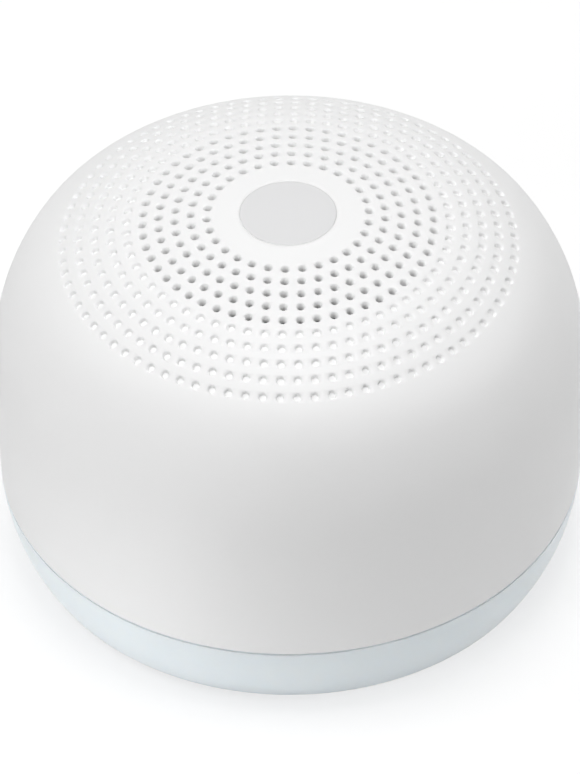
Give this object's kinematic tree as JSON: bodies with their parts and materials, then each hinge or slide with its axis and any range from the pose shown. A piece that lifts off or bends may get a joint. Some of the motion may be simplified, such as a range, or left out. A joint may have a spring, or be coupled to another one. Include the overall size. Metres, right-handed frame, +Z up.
{
  "type": "white noise sound machine",
  "caption": "Domed bedside sound machine: white housing with a round speaker grille on top, frosted light ring at the foot, rear buttons, volume wheel and charging socket.",
  "frame": {"origin": "on the table under the centre of the round body", "axes": "+Z up through the middle of the grille, +Y towards the back with the controls, +X to the right seen from the front"},
  "size_m": [0.08, 0.08, 0.0546],
  "materials": {
    "white_shell": "fine satin moulded",
    "badge_grey": "smooth satin",
    "grille_cloth": "fine acoustic mesh",
    "frosted_diffuser": "frosted translucent",
    "white_inner": "matt",
    "circuit_board": "solder mask",
    "lamp_lens": "clear yellow phosphor",
    "base_plastic": "fine texture",
    "foot_rubber": "matt",
    "screw_steel": "zinc plated",
    "panel_grey": "satin",
    "button_grey": "soft touch",
    "black_plastic": "moulded",
    "wheel_grey": "satin, grooved rim",
    "brown_board": "pressed fibre",
    "socket_steel": "nickel plated",
    "clear_lens": "clear",
    "can_aluminium": "drawn can",
    "connector_white": "nylon",
    "battery_wrap": "laminated foil pouch",
    "foam": "open cell foam",
    "basket_steel": "black paint",
    "surround_rubber": "matt",
    "cone_paper": "pressed paper",
    "spider_fabric": "resin treated weave",
    "former_film": "thin film",
    "copper_wire": "enamelled copper",
    "plated_steel": "zinc plated",
    "ferrite": "sintered",
    "red_lead": "pvc insulation",
    "yellow_lead": "pvc insulation"
  },
  "bodies": {
    "root": {"top_housing": "white_shell", "centre_badge": "badge_grey", "acoustic_cloth": "grille_cloth", "light_ring": "frosted_diffuser", "light_reflector": "white_inner", "light_board": "circuit_board", "lamps": "lamp_lens", "base_cover": "base_plastic", "foot_ring": "foot_rubber", "case_screws": "screw_steel", "control_panel": "panel_grey", "push_switches": "black_plastic", "volume_sensor": "brown_board", "charging_socket": "socket_steel", "socket_tongue": "black_plastic", "socket_riser": "black_plastic", "status_lens": "clear_lens", "status_lamp": "lamp_lens", "main_board": "circuit_board", "board_chips": "black_plastic", "board_capacitors": "can_aluminium", "lead_connectors": "connector_white", "board_screws": "screw_steel", "battery_cell": "battery_wrap", "battery_pads": "foam", "speaker_gasket": "foam", "speaker_basket": "basket_steel", "speaker_surround": "surround_rubber", "speaker_spider": "spider_fabric", "speaker_top_plate": "plated_steel", "speaker_magnet": "ferrite", "speaker_yoke": "plated_steel", "speaker_terminals": "brown_board", "speaker_screws": "screw_steel", "speaker_leads": "red_lead", "battery_leads": "red_lead", "light_leads": "yellow_lead"},
    "power_button": {"power_button": "button_grey", "power_plunger": "black_plastic"},
    "sound_button": {"sound_button": "button_grey", "sound_plunger": "black_plastic"},
    "timer_button": {"timer_button": "button_grey", "timer_plunger": "black_plastic"},
    "night_light_button": {"night_light_button": "button_grey", "night_light_plunger": "black_plastic"},
    "volume": {"volume_wheel": "wheel_grey", "volume_shaft": "screw_steel"},
    "cone": {"speaker_cone": "cone_paper", "speaker_dust_cap": "cone_paper", "coil_former": "former_film", "voice_coil": "copper_wire"}
  },
  "joints": [
    {"name": "power_press", "type": "slide", "parent": "root", "child": "power_button", "axis": [0.2965, -0.955, 0], "range_m": [0, 0.0005], "stiffness_N_per_m": 3200},
    {"name": "sound_press", "type": "slide", "parent": "root", "child": "sound_button", "axis": [0.1002, -0.995, 0], "range_m": [0, 0.0005], "stiffness_N_per_m": 3200},
    {"name": "timer_press", "type": "slide", "parent": "root", "child": "timer_button", "axis": [-0.1002, -0.995, 0], "range_m": [0, 0.0005], "stiffness_N_per_m": 3200},
    {"name": "night_light_press", "type": "slide", "parent": "root", "child": "night_light_button", "axis": [-0.2965, -0.955, 0], "range_m": [0, 0.0005], "stiffness_N_per_m": 3200},
    {"name": "volume_turn", "type": "hinge", "parent": "root", "child": "volume", "pos_m": [-0.01928, 0.02969, 0.0205], "axis": [0, 0, 1], "range_deg": [0, 270]},
    {"name": "cone_travel", "type": "slide", "parent": "root", "child": "cone", "axis": [0, 0, 1], "range_m": [-0.0008, 0.0008], "stiffness_N_per_m": 1500, "deforming": ["speaker_surround", "speaker_spider"]}
  ]
}
